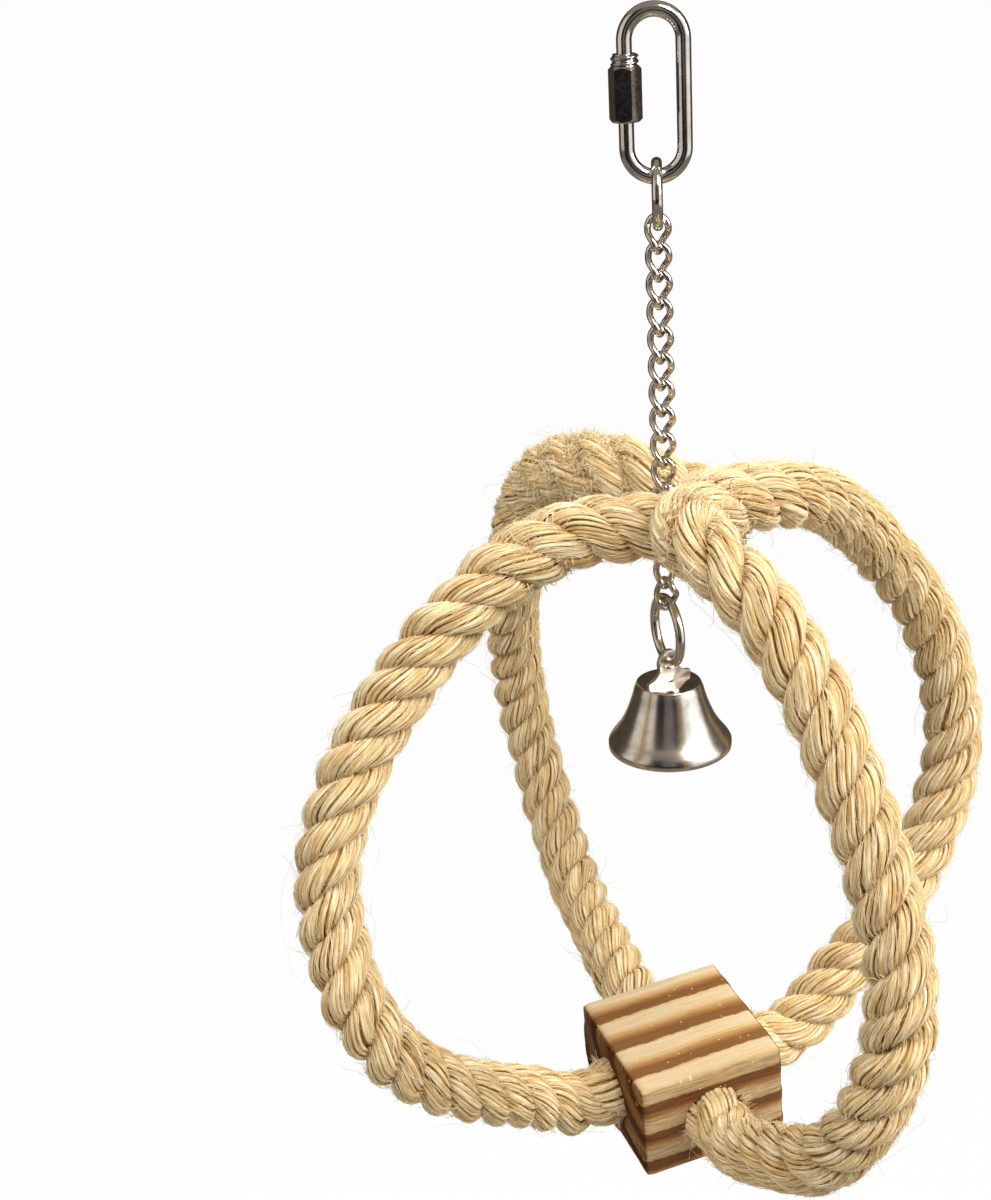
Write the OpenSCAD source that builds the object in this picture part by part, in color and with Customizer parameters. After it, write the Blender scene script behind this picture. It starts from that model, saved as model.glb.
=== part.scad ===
// Hanging rope perch for a bird: two rope hoops from a striped block up to a chain, with a bell inside.
// The origin is the hang point, the inside top of the quick link, with +Z up. Lengths are millimetres.

/* [Quick link] */
// Overall length of the quick link
quick_link_l = 40; // [38:0.5:50]
// Overall width of the quick link
quick_link_w = 16.6; // [15:0.2:20]
// Wire diameter of the quick link
quick_link_wire = 3.5; // [3:0.1:4]
// Length of the threaded sleeve
sleeve_l = 14.8; // [13:0.2:16]
// Width across the flats of the sleeve
sleeve_flats = 6.6; // [6:0.1:7.5]
// Diameter of the round threaded collar at the top of the sleeve
collar_d = 6.4; // [5.4:0.1:6.5]
// Opening between the two ends of the open leg
leg_gap = 4; // [3:0.1:5]

/* [Rings] */
// Outer diameter of the ring on the quick link
top_ring_d = 16.6; // [15:0.2:22]
// Wire diameter of the ring on the quick link
top_ring_wire = 2.5; // [2:0.1:3]
// Outer diameter of the ring that carries the bell
bell_ring_d = 19; // [17:0.5:24]
// Wire diameter of the ring that carries the bell
bell_ring_wire = 2.4; // [1.8:0.1:2.6]

/* [Chain] */
// Wire diameter of the chain
chain_wire = 1.6; // [1.4:0.05:1.8]
// Overall width of a chain link
link_w = 6.4; // [6.1:0.1:7]
// Overall length of an upper chain link
link_l = 9.8; // [9.4:0.1:11]
// Overall length of the three rounder links over the bell
low_link_l = 9.1; // [8.3:0.1:9.4]

/* [Rope and block] */
// Diameter of the rope
rope_d = 16; // [12:0.5:17]
// Width and depth of the wood block
block_w = 41; // [38:0.5:50]
// Height of the wood block
block_h = 29; // [26:0.5:36]
// Radius of the rounded block edges
block_edge = 2; // [1:0.1:3]
// Depth of the rope sockets in the block
socket_depth = 10; // [6:0.5:10.5]
// Diameter of the pin that joins both ropes to the chain
apex_pin_d = 2; // [1.6:0.1:2.3]
// Diameter of the nails that hold the rope ends
nail_d = 1.6; // [1.2:0.1:2]

/* [Bell] */
// Diameter of the flat top of the bell
bell_top_d = 16.6; // [15:0.2:20]
// Diameter of the bell rim
bell_rim_d = 31.4; // [28:0.2:36]
// Height of the bell from its flat top to its rim
bell_h = 16.2; // [14:0.2:20]
// Height of the upright lip under the rim
bell_lip_h = 1.8; // [1:0.1:3]
// Wall thickness of the bell
bell_wall = 0.8; // [0.6:0.1:1.2]
// Length of the hanger plate along the flat top
hanger_w = 14; // [11:0.2:15]
// Thickness of the hanger plate
hanger_t = 1.2; // [1:0.1:1.6]
// Diameter of the clapper ball
clapper_d = 7; // [5:0.2:8]

/* [Hidden] */

// Clearances between pieces that hang in one another, and between pieces that are fitted
hang_gap = 0.1;
fit_gap = 0.1;
thread_gap = 0.05;
// One overrun for every cut
over = 1;
round_fn = 64;

// Quick link: arcs at both ends and straight legs between them
quick_r = quick_link_wire / 2;
quick_arc_r = quick_link_w / 2 - quick_r;
quick_half = quick_link_l / 2 - quick_r;
quick_leg_half = quick_half - quick_arc_r;
quick_z = quick_r - quick_half;
quick_top_z = quick_z + quick_leg_half;
quick_bottom_z = quick_z - quick_leg_half;
sleeve_inset = 2.7;
sleeve_top_z = quick_top_z - sleeve_inset;
stub_grip = 1.8;
stub_end_z = sleeve_top_z - stub_grip;
collar_l = 2.6;
sleeve_chamfer = 0.7;
thread_pitch = 0.8;
thread_depth = 0.25;

// Rings: each hangs in the piece above it
top_ring_r = top_ring_d / 2 - top_ring_wire / 2;
top_ring_z = quick_z - quick_half + quick_r + top_ring_wire / 2 + hang_gap - top_ring_r;
bell_ring_r = bell_ring_d / 2 - bell_ring_wire / 2;
bell_ring_turn = -68;

// Chain: eleven links down to the apex pin, one more long link, then three rounder ones
long_links = 12;
low_links = 3;
wire_r = chain_wire / 2;
link_arc_r = link_w / 2 - wire_r;
link_half = link_l / 2 - wire_r;
low_half = low_link_l / 2 - wire_r;
link_pitch = 2 * link_half - chain_wire - hang_gap;
low_pitch = 2 * low_half - chain_wire - hang_gap;
first_link_z = top_ring_z - top_ring_r + top_ring_wire / 2 + wire_r + hang_gap - link_half;
last_long_z = first_link_z - (long_links - 1) * link_pitch;
first_low_z = last_long_z - link_half + chain_wire + hang_gap - low_half;
last_low_z = first_low_z - (low_links - 1) * low_pitch;
chain_turn = -20;
low_turn = -17;
link_twist = 90;
// The twist runs over this share of the half length
twist_share = 0.66;
link_rings = 24;
link_sides = 8;
// The pin passes through the link with this count from the top, from 0
pinned_link = 10;
apex_z = first_link_z - pinned_link * link_pitch;

// Bell: hangs by its plate from the bell ring
bell_ring_z = last_low_z - low_half + wire_r + bell_ring_wire / 2 + hang_gap - bell_ring_r;
eye_slack = 0.5;
eye_hole_r = bell_ring_wire / 2 + eye_slack;
eye_rim = 1.7;
eye_z = bell_ring_z - bell_ring_r + bell_ring_wire / 2 + hang_gap - eye_hole_r;
eye_r = eye_hole_r + eye_rim;
hanger_neck = 5.2;
hanger_turn = 42;
hanger_side_share = 1.05;
bell_top_z = eye_z - hanger_neck;
bell_edge = 0.6;
// Places down the bell, as shares of its height, and the share of the flare reached there
flare_shares = [
    [0.1, 0.06], [0.25, 0.15], [0.4, 0.26], [0.55, 0.39],
    [0.68, 0.53], [0.79, 0.68], [0.88, 0.83], [0.95, 0.94], [1, 1]];
staple_wire = 1.2;
staple_r = 1.9;
rivet_d = 2.4;
staple_drop = 0.4;
staple_z = bell_top_z - bell_wall - staple_drop - staple_r - staple_wire / 2;
clapper_wire = 1.2;
clapper_loop_r = 1.9;
clapper_loop_z = staple_z - staple_r + staple_wire / 2 + clapper_wire / 2 + hang_gap - clapper_loop_r;
clapper_stem = 5.2;
clapper_z = clapper_loop_z - clapper_loop_r - clapper_stem;

// Block: its centre, below the pin, its turn about Z and its lean about X and Y
block_x = 1;
block_y = -8;
block_drop = 159.8;
block_z = apex_z - block_drop;
block_turn = 24;
block_lean_x = 4.5;
block_lean_y = -2;
nail_l = 17;
nail_head_d = 3.4;
nail_head_h = 0.8;
nail_inset = 5;

// Rope routes, chosen by hand, each from one socket mouth over the apex to the other.
// The points between the mouths are measured from the pin.
rope_sides = 12;
rope_steps = 2;
mouth_run = 12;
left_route = [
    [-39, -31, -152], [-52, -43, -141], [-65, -52, -128], [-75, -56, -110], [-81, -53, -89],
    [-81, -49, -69], [-74, -44, -49], [-62, -37, -30.5], [-45, -28.5, -13], [-28, -20, -3.2],
    [-13, -15, -1.5], [1, -13, -2], [11, -8.5, -4], [14, 0.5, -5.5], [10, 10.5, -4],
    [-2, 15.5, -1], [-15.5, 20, 2], [-28.5, 31, -2.5], [-37, 48, -16], [-42.5, 67, -37.5],
    [-46, 83, -64], [-46, 92, -90], [-42, 92, -116], [-36, 82, -136], [-28, 62, -149]];
right_route = [
    [23, -58, -149], [33, -71, -139], [41.5, -79, -123], [47.5, -81, -103],
    [48.5, -79, -83], [44.5, -75, -62], [38, -68, -41], [30.5, -59, -23], [22, -52, -9.5],
    [13, -45.5, -0.5], [6, -38.5, 4], [6, -29.5, 6], [14, -21.5, 7], [26, -12.5, 5],
    [38, 3, -2], [48.5, 21, -15], [57, 34, -28], [68, 41, -45], [75.5, 43, -65],
    [78, 40, -86], [73, 33, -107], [61, 22, -127], [47, 15, -143]];

apex_pin_turn = 17;
apex_pin_back = 32;
apex_pin_front = 33;
apex_head_d = 5;
apex_head_h = 1.6;
washer_d = 7.6;
washer_t = 0.8;

steel = "silver";
dark_steel = "dimgray";
rope_tan = "burlywood";
wood_tan = "peru";

function unit(v) = v / norm(v);
function ease(t) = let (u = min(max(t, 0), 1)) u * u * (3 - 2 * u);

// A point on a smooth curve through b and c, with a and d as the neighbours
function between(a, b, c, d, t) =
    0.5 * (2 * b + (c - a) * t + (2 * a - 5 * b + 4 * c - d) * t * t
        + (3 * b - a - 3 * c + d) * t * t * t);
function smooth(p, steps) = concat(
    [for (i = [0:len(p) - 2]) for (k = [0:steps - 1])
        between(p[max(i - 1, 0)], p[i], p[i + 1], p[min(i + 2, len(p) - 1)], k / steps)],
    [p[len(p) - 1]]);
function open_tangents(p) = [for (i = [0:len(p) - 1])
    unit(p[min(i + 1, len(p) - 1)] - p[max(i - 1, 0)])];
function carried(n, t) = unit(n - (n * t) * t);
function normals(t, n, i = 0) = i == len(t) ? [] :
    let (m = carried(n, t[i])) concat([m], normals(t, m, i + 1));
function ring_points(c, t, n, r, sides) = [for (k = [0:sides - 1])
    c + r * (cos(360 * k / sides) * n + sin(360 * k / sides) * cross(t, n))];
function wall_faces(rings, sides) = [
    for (i = [0:len(rings) - 2]) for (k = [0:sides - 1])
        let (a = rings[i] * sides + k, b = rings[i] * sides + (k + 1) % sides,
            c = rings[i + 1] * sides + k, d = rings[i + 1] * sides + (k + 1) % sides)
        each [[a, c, b], [b, c, d]]];

// A tube along an open route, with flat ends square to it
module tube(route, r, sides) {
    t = open_tangents(route);
    n = normals(t, [0, 0, 1]);
    points = [for (i = [0:len(route) - 1]) each ring_points(route[i], t[i], n[i], r, sides)];
    last = (len(route) - 1) * sides;
    caps = [[for (k = [0:sides - 1]) k], [for (k = [sides - 1:-1:0]) last + k]];
    polyhedron(points, concat(caps, wall_faces([for (i = [0:len(route) - 1]) i], sides)));
}

// A point on the middle line of a chain link: half an oval on each side, twisted about Z
function oval(s, half) = let (
        straight = 2 * (half - link_arc_r),
        bend = PI * link_arc_r,
        whole = 2 * straight + 2 * bend,
        u = s * whole)
    u < bend ? let (a = 180 * u / bend)
            [link_arc_r * cos(a), straight / 2 + link_arc_r * sin(a)] :
    u < bend + straight ? [-link_arc_r, straight / 2 - (u - bend)] :
    u < 2 * bend + straight ? let (a = 180 + 180 * (u - bend - straight) / bend)
            [link_arc_r * cos(a), -straight / 2 + link_arc_r * sin(a)] :
    [link_arc_r, -straight / 2 + (u - 2 * bend - straight)];
function twisted(s, half) = let (
        q = oval(s, half),
        a = link_twist * ease(0.5 - q[1] / (2 * twist_share * half)))
    [q[0] * cos(a), q[0] * sin(a), q[1]];

// One chain link as a closed tube
module link(half) {
    path = [for (i = [0:link_rings - 1]) twisted((i + 0.5) / link_rings, half)];
    t = [for (i = [0:link_rings - 1])
        unit(path[(i + 1) % link_rings] - path[(i + link_rings - 1) % link_rings])];
    points = [for (i = [0:link_rings - 1])
        let (n = carried(unit(path[i] - [0, 0, path[i][2] * 0.5]), t[i]))
        each ring_points(path[i], t[i], n, wire_r, link_sides)];
    polyhedron(points, wall_faces([for (i = [0:link_rings]) i % link_rings], link_sides));
}

// A ring of wire in the plane of X and Z
module wire_ring(r, wire) {
    rotate([90, 0, 0])
        rotate_extrude($fn = round_fn)
            translate([r, 0])
                circle(d = wire, $fn = round_fn / 2);
}

module quick_arc(turn) {
    rotate([90, 0, 0])
        rotate_extrude(angle = turn, $fn = round_fn)
            translate([quick_arc_r, 0])
                circle(r = quick_r, $fn = round_fn / 2);
}

module leg(x, z0, z1) {
    translate([x, 0, z0])
        cylinder(h = z1 - z0, r = quick_r, $fn = round_fn);
}

// The bent wire, open on its left leg
module quick_link() {
    color(steel) {
        translate([0, 0, quick_top_z])
            quick_arc(180);
        translate([0, 0, quick_bottom_z])
            rotate([0, 180, 0])
                quick_arc(180);
        leg(quick_arc_r, quick_bottom_z, quick_top_z);
        leg(-quick_arc_r, stub_end_z, quick_top_z);
        leg(-quick_arc_r, quick_bottom_z, stub_end_z - leg_gap);
    }
}

// The hexagon sleeve that closes the open leg, with a round threaded collar on top
module quick_link_sleeve() {
    hex_l = sleeve_l - collar_l;
    hex_r = sleeve_flats / 2 / cos(30);
    color(dark_steel)
        translate([-quick_arc_r, 0, sleeve_top_z - sleeve_l])
            difference() {
                union() {
                    intersection() {
                        cylinder(h = hex_l, r = hex_r, $fn = 6);
                        rotate_extrude($fn = round_fn)
                            polygon([
                                [0, 0], [hex_r - sleeve_chamfer, 0],
                                [hex_r + sleeve_chamfer, 2 * sleeve_chamfer],
                                [hex_r + sleeve_chamfer, hex_l - 2 * sleeve_chamfer],
                                [hex_r - sleeve_chamfer, hex_l], [0, hex_l]]);
                    }
                    translate([0, 0, hex_l])
                        rotate_extrude($fn = round_fn)
                            collar_outline();
                }
                translate([0, 0, -over])
                    cylinder(h = sleeve_l + 2 * over, r = quick_r + thread_gap, $fn = round_fn);
            }
}

// Half section of the collar, with its thread ridges
module collar_outline() {
    ridges = floor(collar_l / thread_pitch);
    r = collar_d / 2;
    polygon(concat(
        [[0, 0]],
        [for (i = [0:ridges - 1]) each [
            [r - thread_depth, i * thread_pitch],
            [r, (i + 0.5) * thread_pitch]]],
        [[r - thread_depth, collar_l], [0, collar_l]]));
}

module top_ring() {
    color(steel)
        translate([0, 0, top_ring_z])
            rotate([0, 0, 90])
                wire_ring(top_ring_r, top_ring_wire);
}

// Chain links count from 0 at the top
module chain_link(i) {
    low = i - long_links;
    color(steel)
        if (low < 0)
            translate([0, 0, first_link_z - i * link_pitch])
                rotate([0, 0, chain_turn])
                    link(link_half);
        else
            translate([0, 0, first_low_z - low * low_pitch])
                rotate([0, 0, (low + 1) * low_turn])
                    link(low_half);
}

module bell_ring() {
    color(steel)
        translate([0, 0, bell_ring_z])
            rotate([0, 0, bell_ring_turn])
                wire_ring(bell_ring_r, bell_ring_wire);
}

// Outer line of the bell, from the flat top to the rim, drawn in by an inset
function bell_line(inset) = let (r0 = bell_top_d / 2, r1 = bell_rim_d / 2)
    [for (s = flare_shares) [r0 + (r1 - r0) * s[1] - inset, -bell_h * s[0]]];

module bell_shell() {
    r0 = bell_top_d / 2;
    color(steel)
        translate([0, 0, bell_top_z])
            rotate_extrude($fn = round_fn)
                difference() {
                    polygon(concat(
                        [[rivet_d / 2, 0], [r0 - bell_edge, 0], [r0, -bell_edge]],
                        bell_line(0),
                        [[bell_rim_d / 2, -bell_h - bell_lip_h],
                        [rivet_d / 2, -bell_h - bell_lip_h]]));
                    polygon(concat(
                        [[0, -bell_wall], [r0 - bell_wall - bell_edge, -bell_wall]],
                        bell_line(bell_wall),
                        [[bell_rim_d / 2 - bell_wall, -bell_h - bell_lip_h - over],
                        [0, -bell_h - bell_lip_h - over]]));
                }
}

// The plate that stands on the bell, with concave sides up to its eye, and its rivet through the top
module bell_hanger() {
    side_r = hanger_neck * hanger_side_share;
    side_x = hanger_w / 2 + hanger_t / 2;
    color(steel) {
        translate([0, 0, bell_top_z])
            rotate([0, 0, hanger_turn])
                translate([0, hanger_t / 2, 0])
                    rotate([90, 0, 0])
                        linear_extrude(hanger_t)
                            difference() {
                                union() {
                                    difference() {
                                        translate([-hanger_w / 2, 0])
                                            square([hanger_w, hanger_neck]);
                                        for (side = [-1, 1])
                                            translate([side * side_x, side_r + hanger_t])
                                                circle(r = side_r, $fn = round_fn);
                                    }
                                    translate([0, hanger_neck])
                                        circle(r = eye_r, $fn = round_fn);
                                }
                                translate([0, hanger_neck])
                                    circle(r = eye_hole_r, $fn = round_fn);
                            }
        translate([0, 0, bell_top_z - bell_wall])
            cylinder(h = bell_wall, d = rivet_d, $fn = round_fn);
    }
}

// The wire eye under the rivet, inside the bell
module bell_staple() {
    color(dark_steel) {
        translate([0, 0, staple_z])
            wire_ring(staple_r, staple_wire);
        translate([0, 0, staple_z + staple_r])
            cylinder(h = bell_top_z - bell_wall - staple_z - staple_r, d = staple_wire, $fn = round_fn);
    }
}

// The clapper: a loop, a stem and a ball
module bell_clapper() {
    color(dark_steel) {
        translate([0, 0, clapper_loop_z])
            rotate([0, 0, 90])
                wire_ring(clapper_loop_r, clapper_wire);
        translate([0, 0, clapper_z])
            cylinder(h = clapper_stem, d = clapper_wire, $fn = round_fn);
        translate([0, 0, clapper_z])
            sphere(d = clapper_d, $fn = round_fn);
    }
}

// Places its children in the frame of the block
module at_block() {
    translate([block_x, block_y, block_z])
        rotate([block_lean_x, 0, 0])
            rotate([0, block_lean_y, 0])
                rotate([0, 0, block_turn])
                    children();
}

// The same placing for a point, and the four sockets as directions in the frame of the block
function turned(p, a) = [p[0] * cos(a) - p[1] * sin(a), p[0] * sin(a) + p[1] * cos(a), p[2]];
function leaned_y(p, a) = [p[0] * cos(a) + p[2] * sin(a), p[1], p[2] * cos(a) - p[0] * sin(a)];
function leaned_x(p, a) = [p[0], p[1] * cos(a) - p[2] * sin(a), p[1] * sin(a) + p[2] * cos(a)];
function placed(p) = [block_x, block_y, block_z]
    + leaned_x(leaned_y(turned(p, block_turn), block_lean_y), block_lean_x);
right_side = 0;
back_side = 90;
left_side = 180;
front_side = 270;
function socket_point(side, out) = placed(turned([out, 0, 0], side));
// A rope end: the socket bottom, the mouth and the straight run out of it
function rope_end(side) = [
    socket_point(side, block_w / 2 - socket_depth + fit_gap),
    socket_point(side, block_w / 2),
    socket_point(side, block_w / 2 + mouth_run)];
function rope_route(from, middle, to) = concat(
    [rope_end(from)[0]],
    smooth(concat([rope_end(from)[1], rope_end(from)[2]], [for (p = middle) p + [0, 0, apex_z]],
        [rope_end(to)[2], rope_end(to)[1]]), rope_steps),
    [rope_end(to)[0]]);

module rope(from, middle, to) {
    difference() {
        tube(rope_route(from, middle, to), rope_d / 2, rope_sides);
        apex_hole();
        at_block()
            for (side = [from, to])
                rotate([0, 0, side])
                    nail_hole();
    }
}

module rope_left() {
    color(rope_tan)
        rope(left_side, left_route, back_side);
}

module rope_right() {
    color(rope_tan)
        rope(front_side, right_route, right_side);
}

module at_apex() {
    translate([0, 0, apex_z])
        rotate([0, 0, apex_pin_turn])
            rotate([90, 0, 0])
                children();
}

module apex_hole() {
    at_apex()
        translate([0, 0, -apex_pin_back - apex_head_h])
            cylinder(h = apex_pin_back + apex_head_h + apex_pin_front, d = apex_pin_d, $fn = round_fn);
}

// The pin through the rope on the left, the eleventh chain link and the rope on the right
module apex_pin() {
    color(dark_steel)
        at_apex() {
            translate([0, 0, -apex_pin_back])
                cylinder(h = apex_pin_back + apex_pin_front, d = apex_pin_d, $fn = round_fn);
            translate([0, 0, -apex_pin_back - apex_head_h])
                cylinder(h = apex_head_h, d = apex_head_d, $fn = round_fn);
        }
}

module apex_washer() {
    color(steel)
        at_apex()
            translate([0, 0, -apex_pin_back])
                difference() {
                    cylinder(h = washer_t, d = washer_d, $fn = round_fn);
                    translate([0, 0, -over])
                        cylinder(h = washer_t + 2 * over, d = apex_pin_d + 2 * fit_gap, $fn = round_fn);
                }
}

module nail_hole() {
    translate([block_w / 2 - nail_inset, 0, -block_h / 2 - over])
        cylinder(h = nail_l + over, d = nail_d, $fn = round_fn);
}

// A rectangle with round corners, as exact arcs
module round_rect(w, h, r) {
    square([w - 2 * r, h], center = true);
    square([w, h - 2 * r], center = true);
    for (x = [-1, 1])
        for (y = [-1, 1])
            translate([x * (w / 2 - r), y * (h / 2 - r)])
                circle(r = r, $fn = round_fn);
}

module slab(w, h, depth) {
    linear_extrude(depth, center = true)
        round_rect(w, h, block_edge);
}

// The block, with a blind rope socket in each side and a nail hole under each
module wood_block() {
    color(wood_tan)
        at_block()
            difference() {
                intersection() {
                    slab(block_w, block_w, block_h);
                    rotate([90, 0, 0])
                        slab(block_w, block_h, block_w);
                    rotate([90, 0, 90])
                        slab(block_w, block_h, block_w);
                }
                for (side = [right_side, back_side, left_side, front_side])
                    rotate([0, 0, side]) {
                        translate([block_w / 2 - socket_depth, 0, 0])
                            rotate([0, 90, 0])
                                cylinder(h = socket_depth + over, d = rope_d + 2 * fit_gap, $fn = round_fn);
                        nail_hole();
                    }
            }
}

// Four nails from below, one through each rope end
module rope_nails() {
    color(dark_steel)
        at_block()
            for (side = [right_side, back_side, left_side, front_side])
                rotate([0, 0, side])
                    translate([block_w / 2 - nail_inset, 0, -block_h / 2]) {
                        cylinder(h = nail_l, d = nail_d, $fn = round_fn);
                        translate([0, 0, -nail_head_h])
                            cylinder(h = nail_head_h, d = nail_head_d, $fn = round_fn);
                    }
}

quick_link();
quick_link_sleeve();
top_ring();
chain_link(0);  // chain_link_01
chain_link(1);  // chain_link_02
chain_link(2);  // chain_link_03
chain_link(3);  // chain_link_04
chain_link(4);  // chain_link_05
chain_link(5);  // chain_link_06
chain_link(6);  // chain_link_07
chain_link(7);  // chain_link_08
chain_link(8);  // chain_link_09
chain_link(9);  // chain_link_10
chain_link(10);  // chain_link_11
chain_link(11);  // chain_link_12
chain_link(12);  // chain_link_13
chain_link(13);  // chain_link_14
chain_link(14);  // chain_link_15
bell_ring();
bell_shell();
bell_hanger();
bell_staple();
bell_clapper();
rope_left();
rope_right();
apex_pin();
apex_washer();
wood_block();
rope_nails();
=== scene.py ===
import math

import bmesh
import bpy
import numpy as np
from mathutils import Matrix, Vector, kdtree, noise


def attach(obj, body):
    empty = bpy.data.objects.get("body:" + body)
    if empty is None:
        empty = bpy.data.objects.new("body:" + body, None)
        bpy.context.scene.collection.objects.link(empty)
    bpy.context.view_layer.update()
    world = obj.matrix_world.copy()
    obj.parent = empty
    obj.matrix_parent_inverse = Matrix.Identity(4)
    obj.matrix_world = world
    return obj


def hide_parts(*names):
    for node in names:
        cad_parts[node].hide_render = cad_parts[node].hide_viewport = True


# A hanging rope perch for a bird. Sizes are in millimetres until a mesh is made, as in the CAD source.
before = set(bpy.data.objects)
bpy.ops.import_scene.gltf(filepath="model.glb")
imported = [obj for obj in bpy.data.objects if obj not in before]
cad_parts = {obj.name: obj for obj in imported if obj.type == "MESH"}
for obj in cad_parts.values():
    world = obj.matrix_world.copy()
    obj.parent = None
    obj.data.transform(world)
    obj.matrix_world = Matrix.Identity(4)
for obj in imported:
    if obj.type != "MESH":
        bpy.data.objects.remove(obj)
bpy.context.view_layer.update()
MM = 0.001
UP = np.array([0.0, 0.0, 1.0])
# In degrees: edges of the CAD pieces that are eased, and edges that stay sharp in the shading
EASED_ANGLE = 35
SHARP_ANGLE = 50

# Camera, fitted to the block's edges and the hang line
LENS = 55.2
SENSOR_HEIGHT = 36
CAMERA_PLACE = (-0.7, -424.8, 35.1)
CAMERA_YAW = 5.64
CAMERA_PITCH = 22.03
CAMERA_ROLL = 3.51

# Quick link and rings
QUICK_WIRE_R = 1.75
QUICK_ARC_R = 6.55
QUICK_TOP_Z = -4.8
QUICK_BOTTOM_Z = -28.2
QUICK_SIDES = 40
SLEEVE_TOP_Z = -7.5
SLEEVE_L = 14.8
SLEEVE_HEX_R = 3.3 / math.cos(math.radians(30))
SLEEVE_CHAMFER = 0.7
SLEEVE_TURN = -8
SLEEVE_STEPS = 180
COLLAR_L = 2.6
COLLAR_R = 3.2
THREAD_PITCH = 1.25
THREAD_DEPTH = 0.42
BORE_R = 1.8
STUB_GRIP = 1.8
LEG_GAP = 4.0
HANG_GAP = 0.1
TOP_RING_R = 7.05
TOP_RING_WIRE_R = 1.25
BELL_RING_R = 8.3
BELL_RING_WIRE_R = 1.2
BELL_RING_TURN = -68

# Chain
LINK_WIRE_R = 0.8
# The last link's wire, a little thinner, so that it clears the bell's ring as it swings
LAST_LINK_R = 0.77
LINK_ARC_R = 2.4
LINK_HALF = 4.1
LOW_HALF = 3.75
LINK_PITCH = 6.5
LOW_PITCH = 5.8
FIRST_LINK_Z = -47.7
FIRST_LOW_Z = -125.35
LONG_LINKS = 12
LOW_LINKS = 3
CHAIN_TURN = -20
LOW_TURN = -17
TWIST = 90
TWIST_SHARE = 0.66
LINK_STEPS = 112
LINK_SIDES = 18
# The long link that the pin ties to the ropes, counted from 0
CAGE_LINK = 10

# Bell
BELL_TOP_Z = -160.8
BELL_TOP_R = 8.3
BELL_RIM_R = 15.7
BELL_H = 16.2
BELL_LIP_H = 1.8
BELL_WALL = 0.8
BELL_EDGE = 0.6
BELL_DISC_R = 4
BELL_AXIS_R = 0.05
BELL_STEPS = 160
FLARE_SHARES = [
    (0.1, 0.06), (0.25, 0.15), (0.4, 0.26), (0.55, 0.39),
    (0.68, 0.53), (0.79, 0.68), (0.88, 0.83), (0.95, 0.94), (1, 1)]
CLAPPER_LOOP_R = 1.9
CLAPPER_WIRE_R = 0.6
CLAPPER_STEM = 5.2
CLAPPER_BALL_R = 3.5
CLAPPER_NECK = 0.4
CLAPPER_AXIS_R = 0.03
STAPLE_DROP = 0.4

# Block
APEX_Z = -112.7
BLOCK_PLACE = (1, -8, APEX_Z - 159.8)
BLOCK_TURN = 24
BLOCK_LEAN_X = 4.5
BLOCK_LEAN_Y = -2
BLOCK_W = 41
BLOCK_H = 29
SOCKET_DEPTH = 9.9
# The rings of the wood round the heart of the tree
RING_START = 4.9
RING_PITCH = 9.1
RING_FLATNESS = 1.3
# The dark wood of each ring, as shares of the pitch: where it begins and ends, and over how much
LATE_BEGIN, LATE_RISE = 0.95, 0.05
LATE_END, LATE_FALL = 0.5, 0.25
# The size of the remeshed block's faces
VOXEL = 0.42
# How deep the soft wood is brushed, on the faces and in addition on the ends, and the fine grit
BRUSHED = 0.08
BRUSHED_END = 0.34
GRIT = 0.08
# Along the grain from the middle: where the brushed ends begin and over how much, and the scorched ones
END_FROM, END_REACH = 18, 2
RIGHT_END_SHARE = 0.3
CHAR_FROM, CHAR_FULL = 19.3, 20.1

# Ropes: the routes of the CAD source, measured from the pin
MOUTH_RUN = 12
ROUTE_STEPS = 24
LEFT_ROUTE = [
    (-39, -31, -152), (-52, -43, -141), (-65, -52, -128), (-75, -56, -110), (-81, -53, -89),
    (-81, -49, -69), (-74, -44, -49), (-62, -37, -30.5), (-45, -28.5, -13), (-28, -20, -3.2),
    (-13, -15, -1.5), (1, -13, -2), (11, -8.5, -4), (14, 0.5, -5.5), (10, 10.5, -4),
    (-2, 15.5, -1), (-15.5, 20, 2), (-28.5, 31, -2.5), (-37, 48, -16), (-42.5, 67, -37.5),
    (-46, 83, -64), (-46, 92, -90), (-42, 92, -116), (-36, 82, -136), (-28, 62, -149)]
RIGHT_ROUTE = [
    (23, -58, -149), (33, -71, -139), (41.5, -79, -123), (47.5, -81, -103),
    (48.5, -79, -83), (44.5, -75, -62), (38, -68, -41), (30.5, -59, -23), (22, -52, -9.5),
    (13, -45.5, -0.5), (6, -38.5, 4), (6, -29.5, 6), (14, -21.5, 7), (26, -12.5, 5),
    (38, 3, -2), (48.5, 21, -15), (57, 34, -28), (68, 41, -45), (75.5, 43, -65),
    (78, 40, -86), (73, 33, -107), (61, 22, -127), (47, 15, -143)]
STRANDS = 3
STRAND_LAY = 29
STRAND_OFFSET = 4.3
YARNS = 18
YARN_LAY = 15.6
YARN_RING_R = 3.2
YARN_R = 0.55
YARN_SPREAD = (0.82, 1.2)
YARN_SIDES = 6
ROPE_STEP = 0.8
SOFTEN_REACH = 5
CORE_SHARE = 0.93
CORE_SIDES = 14
MOUTH_REACH = 5
MOUTH_PULL = 1.1
MOUTH_FLARE = 1.75
# Slow random changes along a rope: how far apart, and how large
TURN_DRIFT = (24, 0.07)
OFFSET_DRIFT = (12, 0.14)
RING_DRIFT = (16, 0.08)
ROLL_DRIFT = (11, 0.085)
LIFT_DRIFT = (8, 0.13)
YARN_DRIFT = (6, 0.05)

# Loose fibres: each kind has its count and the ranges of its length and its thickness
STRAY_FIBRES = 1700
STRAY_POINTS = 8
STRAY_LENGTH = (5, 17)
STRAY_R = (0.055, 0.125)
# The part of a strand's girth, round its outside, on which stray fibres lie
STRAY_SIDE = 0.62
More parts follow.
